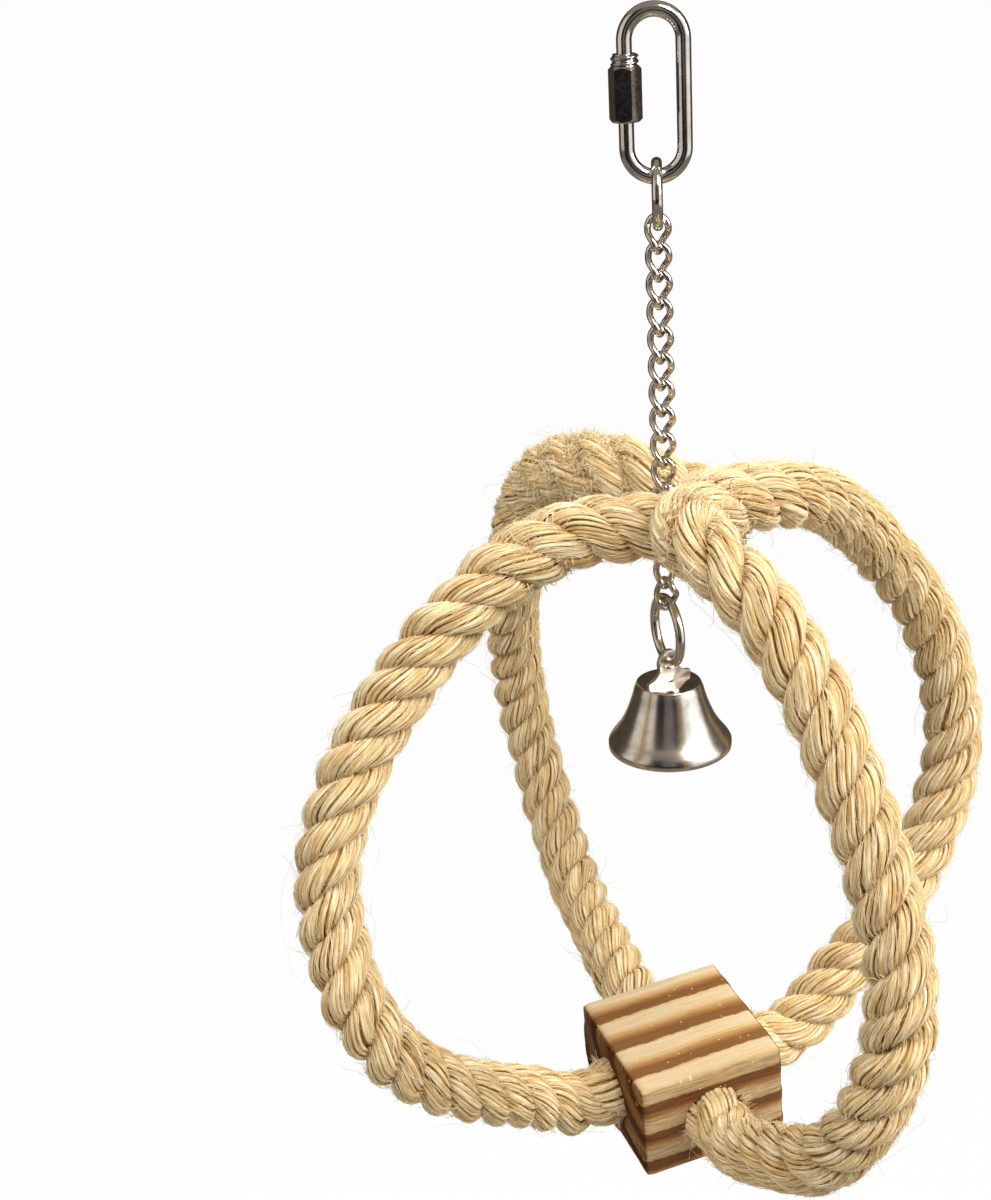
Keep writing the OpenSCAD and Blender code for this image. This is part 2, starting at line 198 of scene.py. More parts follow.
# Fibres begin this far outside a mouth, and up to the second distance they lean away from the block
MOUTH_SKIP, MOUTH_LEAN = 2, 8
# Standing fibres: how many, shortest, longest, lean outwards, points
FUZZ = [(3600, 1.3, 3.8, 0.9, 4), (600, 4, 8, 0.7, 6), (60, 8, 15, 0.6, 8)]
FUZZ_R = (0.04, 0.085)
FUZZ_BASE = 7.2
# How far from the middle line a standing fibre may reach, and how near the hang line
FUZZ_LIMIT = 12.1
CHAIN_CLEAR_R = 9
CHAIN_CLEAR_Z = -190
# Short pile where a tight bend opens the yarns: how many at a swelling of 1
BRISTLES = 32000
BRISTLE_LENGTH = (1.5, 3.6)
BRISTLE_R = (0.1, 0.22)
BRISTLE_BASE = 7
# Fibres that spread on the block round each mouth
FRAYS = 170
FRAY_LENGTH = (1.5, 3.8)
FRAY_R = (0.045, 0.09)
FRAY_BASE = 7.6
# Where a tight bend spreads the strands: the place, the reach and how much thicker
LEFT_SPOTS = [((-20, 24, -112), 20, 0.2), ((6, -2, -117), 14, 0.05), ((-32, -21, -117), 14, 0.07)]
RIGHT_SPOTS = [((8, -31, -107), 15, 0.08)]
# Above this swelling the bend is fluffed, and its yarns get less of the painted shade between them
FLUFFED_FROM = 0.1
FLUFFED_GAIN = 4

# Studio, in metres
FLOOR_Z = -0.85
FLOOR_HALF = 30
CARD_R = 1.6
CARD_LOW = -0.7
CARD_HIGH = 1.3
CARD_STEPS = 24
STUDIO_MIDDLE = (0, 0, -0.16)


# Camera

def make_camera():
    yaw, pitch, roll = (math.radians(a) for a in (CAMERA_YAW, CAMERA_PITCH, CAMERA_ROLL))
    ahead = Vector((-math.sin(yaw) * math.cos(pitch), math.cos(yaw) * math.cos(pitch), -math.sin(pitch)))
    right = Vector((math.cos(yaw), math.sin(yaw), 0))
    down = ahead.cross(right)
    x = math.cos(roll) * right + math.sin(roll) * down
    y = math.sin(roll) * right - math.cos(roll) * down
    data = bpy.data.cameras.new("camera")
    data.sensor_fit = "VERTICAL"
    data.sensor_height = SENSOR_HEIGHT
    data.lens = LENS
    data.clip_start = 0.01
    camera = bpy.data.objects.new("camera", data)
    bpy.context.scene.collection.objects.link(camera)
    turned = Matrix((x, y, -ahead)).transposed().to_4x4()
    camera.matrix_world = Matrix.Translation(Vector(CAMERA_PLACE) * MM) @ turned
    bpy.context.scene.camera = camera


# Meshes

class Shape:
    """Points and faces gathered in millimetres, with one vector mark for each point."""

    def __init__(self):
        self.points = []
        self.marks = []
        self.faces = []
        self.slots = []
        self.count = 0

    def add(self, points, faces, marks=None, slot=0):
        points = np.asarray(points, float).reshape(-1, 3)
        self.points.append(points)
        marks = np.zeros_like(points) if marks is None else np.asarray(marks, float)
        self.marks.append(marks.reshape(-1, 3))
        for face in faces:
            face = np.atleast_2d(np.asarray(face, int))
            self.faces.append(face + self.count)
            self.slots.append(np.full(len(face), slot))
        self.count += len(points)

    def mesh(self, name, materials, mark="mark", sharp=None):
        points = np.concatenate(self.points) * MM
        sizes = np.concatenate([np.full(len(f), f.shape[1]) for f in self.faces])
        corners = np.concatenate([f.reshape(-1) for f in self.faces])
        data = bpy.data.meshes.new(name)
        data.vertices.add(len(points))
        data.vertices.foreach_set("co", points.reshape(-1))
        data.loops.add(len(corners))
        data.loops.foreach_set("vertex_index", corners)
        data.polygons.add(len(sizes))
        data.polygons.foreach_set("loop_start", np.concatenate([[0], np.cumsum(sizes)[:-1]]))
        data.polygons.foreach_set("material_index", np.concatenate(self.slots))
        data.polygons.foreach_set("use_smooth", np.ones(len(sizes), bool))
        data.update(calc_edges=True)
        attribute = data.attributes.new(mark, "FLOAT_VECTOR", "POINT")
        attribute.data.foreach_set("vector", np.concatenate(self.marks).reshape(-1))
        for material in materials:
            data.materials.append(material)
        if sharp is not None:
            data.set_sharp_from_angle(angle=math.radians(sharp))
        return data


def place(name, data, body, nodes):
    piece = bpy.data.objects.new(name, data)
    bpy.context.scene.collection.objects.link(piece)
    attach(piece, body)
    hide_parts(*nodes)
    return piece


def unit(v):
    return v / np.linalg.norm(v, axis=-1, keepdims=True)


def tangents(path, closed=False):
    if closed:
        return unit(np.roll(path, -1, 0) - np.roll(path, 1, 0))
    return unit(np.gradient(path, axis=0))


def square_to(reference, along):
    """The reference directions, made square to the tangents."""
    return unit(reference - (reference * along).sum(-1, keepdims=True) * along)


def carried_normals(along, first):
    """Normals carried along a path without twist."""
    normals = [square_to(np.asarray(first, float), along[0])]
    for tangent in along[1:]:
        normals.append(square_to(normals[-1], tangent))
    return np.array(normals)


def wall(rows, columns, closed=False):
    """Quads between rows of points that close around their columns."""
    r, c = np.meshgrid(np.arange(rows if closed else rows - 1), np.arange(columns), indexing="ij")
    next_r = (r + 1) % rows
    next_c = (c + 1) % columns
    corners = [r * columns + c, r * columns + next_c, next_r * columns + next_c, next_r * columns + c]
    return np.stack(corners, -1).reshape(-1, 4)


def caps(rows, columns):
    """The two end faces of an open wall."""
    first = np.arange(columns)[::-1]
    last = (rows - 1) * columns + np.arange(columns)
    return [first, last]


def tube_points(path, normals, along, radius, sides):
    turn = np.linspace(0, 2 * math.pi, sides, endpoint=False)
    across = np.cross(along, normals)
    radius = np.broadcast_to(np.asarray(radius, float), len(path))
    turn = turn[None, :, None]
    spokes = np.cos(turn) * normals[:, None] + np.sin(turn) * across[:, None]
    return path[:, None] + radius[:, None, None] * spokes


def add_tube(shape, path, radius, sides, normals, closed=False):
    points = tube_points(path, normals, tangents(path, closed), radius, sides)
    faces = [wall(len(path), sides, closed)]
    if not closed:
        faces += caps(len(path), sides)
    shape.add(points, faces)


def add_ring(shape, z, r, turn, wire_r, steps=128, sides=24):
    """A ring of wire round a point of the hang line, upright in the plane turned about Z."""
    a = np.linspace(0, 2 * math.pi, steps, endpoint=False)
    t = math.radians(turn)
    out = np.array([math.cos(t), math.sin(t), 0])
    side = np.array([-math.sin(t), math.cos(t), 0])
    path = np.array([0, 0, z]) + r * (np.cos(a)[:, None] * out + np.sin(a)[:, None] * UP)
    add_tube(shape, path, wire_r, sides, np.tile(side, (steps, 1)), closed=True)


def add_lathe(shape, outline, steps):
    """A closed outline of radius and height, turned about Z. Its ends are near the axis, not on it."""
    turn = np.linspace(0, 2 * math.pi, steps, endpoint=False)
    points = np.stack([
        outline[:, :1] * np.cos(turn),
        outline[:, :1] * np.sin(turn),
        np.repeat(outline[:, 1:], steps, 1)], -1)
    shape.add(points, [wall(len(outline), steps, closed=True)[:, ::-1]])


def smooth_line(points, steps):
    """A smooth curve through the points, with both ends kept."""
    p = np.asarray(points, float)
    t = np.linspace(0, 1, steps, endpoint=False)[:, None]
    parts = []
    for i in range(len(p) - 1):
        a, b, c, d = p[max(i - 1, 0)], p[i], p[i + 1], p[min(i + 2, len(p) - 1)]
        parts.append(0.5 * (2 * b + (c - a) * t + (2 * a - 5 * b + 4 * c - d) * t**2
                            + (3 * b - a - 3 * c + d) * t**3))
    return np.concatenate(parts + [p[-1:]])


def refined(node, body, material, bevel):
    """A copy of a CAD node with its edges eased."""
    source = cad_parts[node]
    work = bmesh.new()
    work.from_mesh(source.data)
    bmesh.ops.remove_doubles(work, verts=work.verts, dist=1e-6)
    data = bpy.data.meshes.new(node + "_eased")
    work.to_mesh(data)
    work.free()
    data.materials.clear()
    data.materials.append(material)
    piece = bpy.data.objects.new(node + "_eased", data)
    bpy.context.scene.collection.objects.link(piece)
    easing = piece.modifiers.new("edges", "BEVEL")
    easing.width = bevel * MM
    easing.segments = 2
    easing.limit_method = "ANGLE"
    easing.angle_limit = math.radians(EASED_ANGLE)
    bpy.context.view_layer.update()
    done = bpy.data.meshes.new_from_object(piece.evaluated_get(bpy.context.evaluated_depsgraph_get()))
    piece.modifiers.clear()
    piece.data = done
    done.shade_smooth()
    done.set_sharp_from_angle(angle=math.radians(SHARP_ANGLE))
    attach(piece, body)
    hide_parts(node)
    return piece


# Materials

def new_material(name):
    material = bpy.data.materials.new(name)
    material.use_nodes = True
    tree = material.node_tree
    return material, tree, tree.nodes["Principled BSDF"]


def node(tree, kind, settings=None, **inputs):
    """A node with its settings, and its inputs by name or number as in_0."""
    made = tree.nodes.new(kind)
    for key, value in (settings or {}).items():
        setattr(made, key, value)
    for key, value in inputs.items():
        socket = made.inputs[int(key[3:])] if key.startswith("in_") else made.inputs[key]
        if isinstance(value, bpy.types.NodeSocket):
            tree.links.new(value, socket)
        else:
            socket.default_value = value
    return made


def maths(tree, operation, a, b=0.0):
    return node(tree, "ShaderNodeMath", {"operation": operation}, in_0=a, in_1=b).outputs[0]


def scaled(tree, vector, scale):
    return node(
        tree, "ShaderNodeVectorMath", {"operation": "MULTIPLY"}, in_0=vector, in_1=scale).outputs[0]


def noise_of(tree, vector, scale=1.0, detail=2.0, roughness=0.5):
    return node(
        tree, "ShaderNodeTexNoise", None,
        Vector=vector, Scale=scale, Detail=detail, Roughness=roughness).outputs[0]


def ramp(tree, factor, stops):
    made = node(tree, "ShaderNodeValToRGB", None, Fac=factor)
    elements = made.color_ramp.elements
    while len(elements) < len(stops):
        elements.new(0.5)
    for element, (at, colour) in zip(elements, stops):
        element.position = at
        element.color = (*colour, 1)
    return made.outputs[0]


def mixed(tree, factor, a, b, blend="MIX"):
    made = node(tree, "ShaderNodeMix", {"data_type": "RGBA", "blend_type": blend}, in_0=factor)
    for socket, value in ((made.inputs[6], a), (made.inputs[7], b)):
        if isinstance(value, bpy.types.NodeSocket):
            tree.links.new(value, socket)
        else:
            socket.default_value = (*value, 1)
    return made.outputs[2]


def bumped(tree, shader, height, strength, distance):
    made = node(tree, "ShaderNodeBump", None, Height=height, Strength=strength, Distance=distance)
    tree.links.new(made.outputs[0], shader.inputs["Normal"])


def sisal(name, dark, middle, light, shade_gaps=False):
    """Dry plant fibre: long streaks along each yarn, with slow changes of tone, and if asked, painted
    shade that makes each yarn darker and more brown towards its sides and between strands.
    """
    material, tree, shader = new_material(name)
    mark = node(tree, "ShaderNodeAttribute", {"attribute_name": "fibre"}).outputs["Vector"]
    streaks = noise_of(tree, scaled(tree, mark, (4.5, 0.22, 47)), 1, 4, 0.65)
    patches = noise_of(tree, scaled(tree, mark, (0.2, 0.07, 31)), 1, 2, 0.5)
    tone = maths(
        tree, "ADD", maths(tree, "MULTIPLY", streaks, 0.65), maths(tree, "MULTIPLY", patches, 0.35))
    colour = ramp(tree, tone, [(0.36, dark), (0.49, middle), (0.63, light)])
    if shade_gaps:
        # Painted shade: the first value of the mark multiplies the colour darker and more brown towards
        # each yarn's sides and deep between the strands
        gap_shade_mask = node(tree, "ShaderNodeSeparateXYZ", None, Vector=mark).outputs[0]
        painted_gap_shade = ramp(tree, gap_shade_mask, [
            (0.15, (0.30, 0.165, 0.05)), (0.45, (0.68, 0.50, 0.28)), (0.78, (1, 1, 1))])
        colour = mixed(tree, 1.0, colour, painted_gap_shade, "MULTIPLY")
    tree.links.new(colour, shader.inputs["Base Color"])
    shader.inputs["Roughness"].default_value = 0.7
    shader.inputs["Specular IOR Level"].default_value = 0.1
    bumped(tree, shader, streaks, 0.8, 0.00018)
    return material


def pine():
    """Scorched and brushed softwood: the dark latewood of each ring has one sharp side."""
    material, tree, shader = new_material("scorched_pine")
    mark = node(tree, "ShaderNodeAttribute", {"attribute_name": "grain"}).outputs["Vector"]
    parts = node(tree, "ShaderNodeSeparateXYZ", None, Vector=mark)
    x, ring, across = parts.outputs
    rough_edge = noise_of(tree, scaled(tree, mark, (0.4, 1.1, 0.9)), 1, 4, 0.7)
    shift = maths(tree, "MULTIPLY", maths(tree, "SUBTRACT", rough_edge, 0.5), 1.3)
    grown = maths(tree, "SUBTRACT", maths(tree, "ADD", ring, shift), RING_START)
    phase = maths(tree, "FRACT", maths(tree, "DIVIDE", grown, RING_PITCH))
    cream, tan = (0.675, 0.52, 0.31), (0.585, 0.37, 0.16)
    amber, brown = (0.38, 0.185, 0.06), (0.225, 0.10, 0.034)
    bands = ramp(tree, phase, [
        (0.0, brown), (0.25, brown), (0.36, amber), (0.5, tan), (0.64, cream), (0.93, cream),
        (0.978, tan), (1.0, brown)])
    streak_mark = node(
        tree, "ShaderNodeCombineXYZ", None,
        X=maths(tree, "MULTIPLY", x, 0.06), Y=maths(tree, "MULTIPLY", ring, 2.6),
        Z=maths(tree, "MULTIPLY", across, 0.15)).outputs[0]
    streaks = noise_of(tree, streak_mark, 1, 5, 0.6)
    tint = ramp(tree, streaks, [(0.3, (0.78, 0.73, 0.66)), (0.5, (0.98, 0.97, 0.95)), (0.7, (1, 1, 1))])
    colour = mixed(tree, 1.0, bands, tint, "MULTIPLY")
    end = node(
        tree, "ShaderNodeMapRange", {"interpolation_type": "SMOOTHSTEP"},
        Value=maths(tree, "ABSOLUTE", x), in_1=CHAR_FROM, in_2=CHAR_FULL).outputs[0]
    end_mark = node(
        tree, "ShaderNodeCombineXYZ", None,
        X=maths(tree, "MULTIPLY", ring, 1.9), Y=maths(tree, "MULTIPLY", across, 0.12)).outputs[0]
    char = ramp(tree, noise_of(tree, end_mark, 1, 4, 0.65), [
        (0.34, (0.14, 0.065, 0.02)), (0.5, (0.30, 0.175, 0.085)), (0.66, (0.56, 0.39, 0.24))])
    burnt = mixed(tree, 1.0, colour, char, "MULTIPLY")
    colour = mixed(tree, end, colour, burnt)
    # Painted shade: the faces towards the block's front are multiplied darker, in streaks along the
    # grain
    to_front = tuple(-block_matrix().to_3x3().col[1])
    facing = node(
        tree, "ShaderNodeVectorMath", {"operation": "DOT_PRODUCT"},
        in_0=node(tree, "ShaderNodeTexCoord").outputs["Normal"], in_1=to_front).outputs["Value"]
    front = node(
        tree, "ShaderNodeMapRange", {"interpolation_type": "SMOOTHSTEP"},
        Value=facing, in_1=0.55, in_2=0.85).outputs[0]
    front_mark = node(
        tree, "ShaderNodeCombineXYZ", None,
        X=maths(tree, "MULTIPLY", x, 0.09), Y=maths(tree, "MULTIPLY", ring, 3.4)).outputs[0]
    front_shade = ramp(tree, noise_of(tree, front_mark, 1, 5, 0.7), [
        (0.36, (0.46, 0.35, 0.25)), (0.5, (0.78, 0.70, 0.60)), (0.6, (0.97, 0.95, 0.92))])
    colour = mixed(tree, front, colour, mixed(tree, 1.0, colour, front_shade, "MULTIPLY"))
    pores = node(
        tree, "ShaderNodeTexVoronoi", None,
        Vector=scaled(tree, mark, (0.42, 0.6, 0.42)), Scale=1.0, Randomness=1.0)
    near = maths(tree, "LESS_THAN", pores.outputs["Distance"], 0.11)
    some = maths(tree, "GREATER_THAN", pores.outputs["Color"], 0.6)
    colour = mixed(tree, maths(tree, "MULTIPLY", near, some), colour, (0.78, 0.66, 0.48))
    tree.links.new(colour, shader.inputs["Base Color"])
    shader.inputs["Roughness"].default_value = 0.6
    shader.inputs["Specular IOR Level"].default_value = 0.12
    bumped(tree, shader, streaks, 0.35, 0.00025)
    return material


def nickel(name, colour, roughness, spread, brushed=0.0, bump=0.06):
    """Plated wire or sheet, with a little uneven polish."""
    material, tree, shader = new_material(name)
    place_of = node(tree, "ShaderNodeTexCoord").outputs["Object"]
    cloud = noise_of(tree, place_of, 260, 3, 0.6)
    fine = noise_of(tree, scaled(tree, place_of, (900, 900, 900 + 9000 * brushed)), 1, 3, 0.6)
    dull = tuple(c * 0.78 for c in colour)
    tree.links.new(ramp(tree, cloud, [(0.35, dull), (0.6, colour)]), shader.inputs["Base Color"])
    rough = node(
        tree, "ShaderNodeMapRange", None,
        Value=fine, in_1=0.3, in_2=0.7, in_3=roughness, in_4=roughness + spread).outputs[0]
    tree.links.new(rough, shader.inputs["Roughness"])
    shader.inputs["Metallic"].default_value = 1
    bumped(tree, shader, fine, bump, 0.00002)
    return material


# Ropes

def block_matrix():
    turn = Matrix.Rotation(math.radians(BLOCK_TURN), 4, "Z")
    lean_x = Matrix.Rotation(math.radians(BLOCK_LEAN_X), 4, "X")
    lean_y = Matrix.Rotation(math.radians(BLOCK_LEAN_Y), 4, "Y")
    return Matrix.Translation(Vector(BLOCK_PLACE)) @ (lean_x @ lean_y) @ turn


def socket_point(side, out):
    a = math.radians(side)
    return tuple(block_matrix() @ Vector((out * math.cos(a), out * math.sin(a), 0)))


def rope_line(start_side, route, end_side):
    """The middle line of a rope, in even steps from one socket bottom to the other."""
    ends = [
        [socket_point(side, BLOCK_W / 2 + out) for out in (-SOCKET_DEPTH, 0, MOUTH_RUN)]
        for side in (start_side, end_side)]
    lifted = [(x, y, z + APEX_Z) for x, y, z in route]
    line = smooth_line(ends[0][1:] + lifted + ends[1][:0:-1], ROUTE_STEPS)
    line = np.concatenate([[ends[0][0]], line, [ends[1][0]]])
    return evenly(line, ROPE_STEP)


def evenly(line, step):
    gone = np.concatenate([[0], np.cumsum(np.linalg.norm(np.diff(line, axis=0), axis=1))])
    at = np.linspace(0, gone[-1], int(round(gone[-1] / step)) + 1)
    return np.stack([np.interp(at, gone, line[:, i]) for i in range(3)], 1)


def softened(line, reach):
    """The line with its small kinks eased, and both ends kept."""
    kernel = np.hanning(2 * reach + 3)[1:-1]
    kernel /= kernel.sum()
    padded = np.concatenate([
        2 * line[0] - line[reach:0:-1], line, 2 * line[-1] - line[-2:-reach - 2:-1]])
    eased = np.stack([np.convolve(padded[:, i], kernel, "valid") for i in range(3)], 1)
    eased[0], eased[-1] = line[0], line[-1]
    return eased


def wander(rng, length, reach, size):
    """A slow random change along the rope."""
    knots = max(int(length / reach) + 2, 3)
    values = rng.normal(0, size, knots)
    at = np.linspace(0, knots - 1, int(length / ROPE_STEP) + 8)
    near = np.floor(at).astype(int).clip(0, knots - 2)
    share = at - near
    share = share * share * (3 - 2 * share)
    return values[near] * (1 - share) + values[near + 1] * share


def swelling(line, spots):
    """How much thicker the rope is at each point, where a bend or a mouth spreads its strands."""
    share = np.zeros(len(line))
    for spot, reach, most in spots:
        far = np.linalg.norm(line - np.array(spot), axis=1)
        share += most * np.exp(-(far / reach) ** 2)
    return share


def gap_shade_share(round_yarn, round_strand):
    """How open a point of a yarn is: 1 on its crest outside the rope, near 0 deep between strands; it
    sets how much painted shade the yarn's colour gets there.
    """
    crest = np.clip((round_yarn - 0.1) / 0.7, 0, 1)
    outside = np.clip((round_strand + 0.35) / 0.9, 0, 1)
    return (0.25 + 0.75 * crest) * (0.35 + 0.65 * outside)


def rope_shape(line, seed, spots):
    """Three strands of yarns laid round the line, and the loose fibres on them."""
    rng = np.random.default_rng(seed)
    shape = Shape()
    along = tangents(line)
    normal = carried_normals(along, (0.3, 0.2, 1))
    across = np.cross(along, normal)
    gone = np.concatenate([[0], np.cumsum(np.linalg.norm(np.diff(line, axis=0), axis=1))])
    count = len(line)
    swell = swelling(line, spots)
    fluffed = FLUFFED_GAIN * np.clip(swell - FLUFFED_FROM, 0, 1)
    mouths = (SOCKET_DEPTH, gone[-1] - SOCKET_DEPTH)
    mouth = sum(np.exp(-((gone - at) / MOUTH_REACH) ** 2) for at in mouths)

    def drift(reach, size):
        return wander(rng, gone[-1], reach, size)[:count]

    start = rng.uniform(0, 2 * math.pi)
    girth = np.linspace(0, 2 * math.pi * YARN_R, YARN_SIDES, endpoint=False)
    for strand in range(STRANDS):
        turn = start + 2 * math.pi * (strand / STRANDS + gone / STRAND_LAY) + drift(*TURN_DRIFT)
        out = np.cos(turn)[:, None] * normal + np.sin(turn)[:, None] * across
        offset = STRAND_OFFSET * (1 + swell) + drift(*OFFSET_DRIFT) - MOUTH_PULL * mouth
        centre = line + offset[:, None] * out
        strand_along = tangents(centre)
        out = square_to(out, strand_along)
        around = np.cross(strand_along, out)
        ring = YARN_RING_R * (1 + 0.8 * swell) + MOUTH_FLARE * mouth + drift(*RING_DRIFT)
        # A tube inside each strand's yarns, so nothing shows through between them; its darker material
        # is painted shade for the deep spaces between yarns
        core = tube_points(centre, out, strand_along, ring * CORE_SHARE, CORE_SIDES)
        core_mark = np.zeros_like(core)
        core_mark[..., 1] = gone[:, None]
        shape.add(core, [wall(count, CORE_SIDES)] + caps(count, CORE_SIDES), core_mark, slot=2)
        for yarn in range(YARNS):
            own = rng.uniform(0, 1)
            roll = 2 * math.pi * (yarn / YARNS - gone / YARN_LAY) + drift(*ROLL_DRIFT)
            spoke = np.cos(roll)[:, None] * out + np.sin(roll)[:, None] * around
            path = centre + (ring + drift(*LIFT_DRIFT))[:, None] * spoke
            yarn_along = tangents(path)
            radius = YARN_R * rng.uniform(*YARN_SPREAD) + drift(*YARN_DRIFT)
            radius = radius * (1 + 0.6 * swell + 0.35 * mouth)
            points = tube_points(path, square_to(spoke, yarn_along), yarn_along, radius, YARN_SIDES)
            marks = np.zeros_like(points)
            # Painted shade: this mark darkens each yarn's colour towards its sides and between strands,
            # less on fluffed bends
            seen = gap_shade_share(np.cos(girth / YARN_R)[None], np.cos(roll)[:, None])
            marks[..., 0] = np.minimum(seen + fluffed[:, None], 1)
            marks[..., 1] = gone[:, None] * 1.4
            marks[..., 2] = own
            shape.add(points, [wall(count, YARN_SIDES)] + caps(count, YARN_SIDES), marks)
        add_stray(shape, rng, centre, out, around, gone, ring)
    add_fuzz(shape, rng, line, along, normal, across, swell)
    add_frays(shape, rng, line, along, normal, across)
    add_bristles(shape, rng, line, along, normal, across, swell)
    return shape


def add_fibres(shape, rng, paths, outward, radius):
    """Many thin tubes of three sides, each along its own row of points."""
    n, k = paths.shape[:2]
    along = unit(np.gradient(paths, axis=1))
    normal = square_to(outward, along)
    across = np.cross(along, normal)
    turn = np.radians((0, 120, 240))[None, None, :, None]
    spokes = np.cos(turn) * normal[:, :, None] + np.sin(turn) * across[:, :, None]
    points = paths[:, :, None] + radius[:, :, None, None] * spokes
    marks = np.zeros_like(points)
    marks[..., 1] = np.arange(k)[None, :, None]
    marks[..., 2] = rng.uniform(0, 1, n)[:, None, None]
    starts = (np.arange(n) * k * 3)[:, None, None]
    first, last = caps(k, 3)
    faces = [(wall(k, 3)[None] + starts).reshape(-1, 4)]
    faces += [(end[None, None] + starts).reshape(-1, 3) for end in (first, last)]
    shape.add(points, faces, marks, slot=1)


def add_stray(shape, rng, centre, out, around, gone, ring):
    """Fibres that lie on a strand, a little across its yarns, with ends that lift."""
    n, k = STRAY_FIBRES, STRAY_POINTS
    t = np.linspace(0, 1, k)[None]
    length = rng.uniform(*STRAY_LENGTH, (n, 1))
    at = rng.uniform(SOCKET_DEPTH + MOUTH_SKIP, gone[-1] - SOCKET_DEPTH - 20, (n, 1)) + t * length
    step = np.clip(np.round(at / ROPE_STEP).astype(int), 0, len(centre) - 1)
    roll = rng.uniform(-math.pi, math.pi, (n, 1)) * STRAY_SIDE - 2 * math.pi * t * length / YARN_LAY
    roll = roll + rng.normal(0, 0.055, (n, 1)) * t * length
    lift = YARN_R + 0.05 + rng.uniform(0, 1, (n, 1)) ** 3 * (2 * t - 1) ** 2
    lift = lift + rng.uniform(0, 0.15, (n, 1))
    spoke = np.cos(roll)[..., None] * out[step] + np.sin(roll)[..., None] * around[step]
    paths = centre[step] + (ring[step] + lift)[..., None] * spoke
    thin = rng.uniform(*STRAY_R, (n, 1)) * (1 - 0.5 * (2 * t - 1) ** 2)
    add_fibres(shape, rng, paths, spoke, thin)


def add_fuzz(shape, rng, line, along, normal, across, swell):
    """Loose fibres that stand on the rope, none further out than the limit."""
    tree = kdtree.KDTree(len(line))
    for i, point in enumerate(line):
        tree.insert(point, i)
    tree.balance()
    mouth = int((SOCKET_DEPTH + MOUTH_SKIP) / ROPE_STEP)
    clear = int((SOCKET_DEPTH + MOUTH_LEAN) / ROPE_STEP)
    weight = 1 + 8 * swell[mouth:len(line) - mouth]
    for count, low, high, lean, k in FUZZ:
        at = mouth + rng.choice(len(weight), count, p=weight / weight.sum())
        turn = rng.uniform(0, 2 * math.pi, (count, 1))
        out = np.cos(turn) * normal[at] + np.sin(turn) * across[at]
        around = np.cross(along[at], out)
        sign = rng.choice((-1, 1), (count, 1))
        sign = np.where(at[:, None] < clear, 1, np.where(at[:, None] > len(line) - clear, -1, sign))
        way = unit(
            sign * along[at] + rng.normal(0, 0.55, (count, 1)) * around
            + rng.uniform(0.1, lean, (count, 1)) * out)
        length = rng.uniform(low, high, (count, 1, 1))
        t = np.linspace(0, 1, k)[None, :, None] * length
        bend = rng.normal(0, 0.1, (count, 1, 3)) - 0.05 * out[:, None]
        base = line[at] + out * (FUZZ_BASE * (1 + swell[at]))[:, None]
        paths = base[:, None] + way[:, None] * t + 0.5 * bend * t**2
        paths = paths + rng.normal(0, 0.025, (count, k, 3)) * t
        by_chain = np.hypot(paths[..., 0], paths[..., 1]).min(1) < CHAIN_CLEAR_R
        by_chain &= paths[..., 2].max(1) > CHAIN_CLEAR_Z
        paths, out = paths[~by_chain], out[~by_chain]
        for path in paths:
            for i, point in enumerate(path):
                near, _, far = tree.find(point)
                if far > FUZZ_LIMIT:
                    path[i] = np.array(near) + (point - np.array(near)) * FUZZ_LIMIT / far
        thin = rng.uniform(*FUZZ_R, (len(paths), 1)) * np.linspace(1, 0.45, k)[None]
        add_fibres(shape, rng, paths, np.repeat(out[:, None], k, 1), thin)


def add_bristles(shape, rng, line, along, normal, across, swell):
    """A dense short pile on the outside of each swollen bend."""
    count, k = int(BRISTLES * swell.max() ** 1.5), 4
    at = rng.choice(len(line), count, p=swell**2 / (swell**2).sum())
    turn = rng.uniform(0, 2 * math.pi, (count, 1))
    out = np.cos(turn) * normal[at] + np.sin(turn) * across[at]
    around = np.cross(along[at], out)
    way = unit(
        rng.normal(0, 0.6, (count, 1)) * along[at] + rng.normal(0, 0.8, (count, 1)) * around
        + rng.uniform(0, 0.5, (count, 1)) * out)
    t = np.linspace(0, 1, k)[None, :, None] * rng.uniform(*BRISTLE_LENGTH, (count, 1, 1))
    base = line[at] + out * (BRISTLE_BASE * (1 + swell[at]))[:, None]
    paths = base[:, None] + way[:, None] * t + rng.normal(0, 0.03, (count, 1, 3)) * t**2
    thin = rng.uniform(*BRISTLE_R, (count, 1)) * np.linspace(1, 0.55, k)[None]
    add_fibres(shape, rng, paths, np.repeat(out[:, None], k, 1), thin)


def add_frays(shape, rng, line, along, normal, across):
    """Short fibres that spread on the block round each mouth."""
    k = 5
    for first, step, sign in ((0, 1, 1), (len(line) - 1, -1, -1)):
        gone = SOCKET_DEPTH + rng.uniform(0.4, 2, FRAYS)
        at = first + step * np.round(gone / ROPE_STEP).astype(int)
        turn = rng.uniform(0, 2 * math.pi, (FRAYS, 1))
        out = np.cos(turn) * normal[at] + np.sin(turn) * across[at]
        around = np.cross(along[at], out)
        way = unit(
            out + rng.normal(0, 0.6, (FRAYS, 1)) * around
            + sign * rng.uniform(0, 0.5, (FRAYS, 1)) * along[at])
        t = np.linspace(0, 1, k)[None, :, None] * rng.uniform(*FRAY_LENGTH, (FRAYS, 1, 1))
        base = line[at] + FRAY_BASE * out
        paths = base[:, None] + way[:, None] * t + rng.normal(0, 0.015, (FRAYS, 1, 3)) * t**2
        thin = rng.uniform(*FRAY_R, (FRAYS, 1)) * np.linspace(1, 0.5, k)[None]
        add_fibres(shape, rng, paths, np.repeat(out[:, None], k, 1), thin)


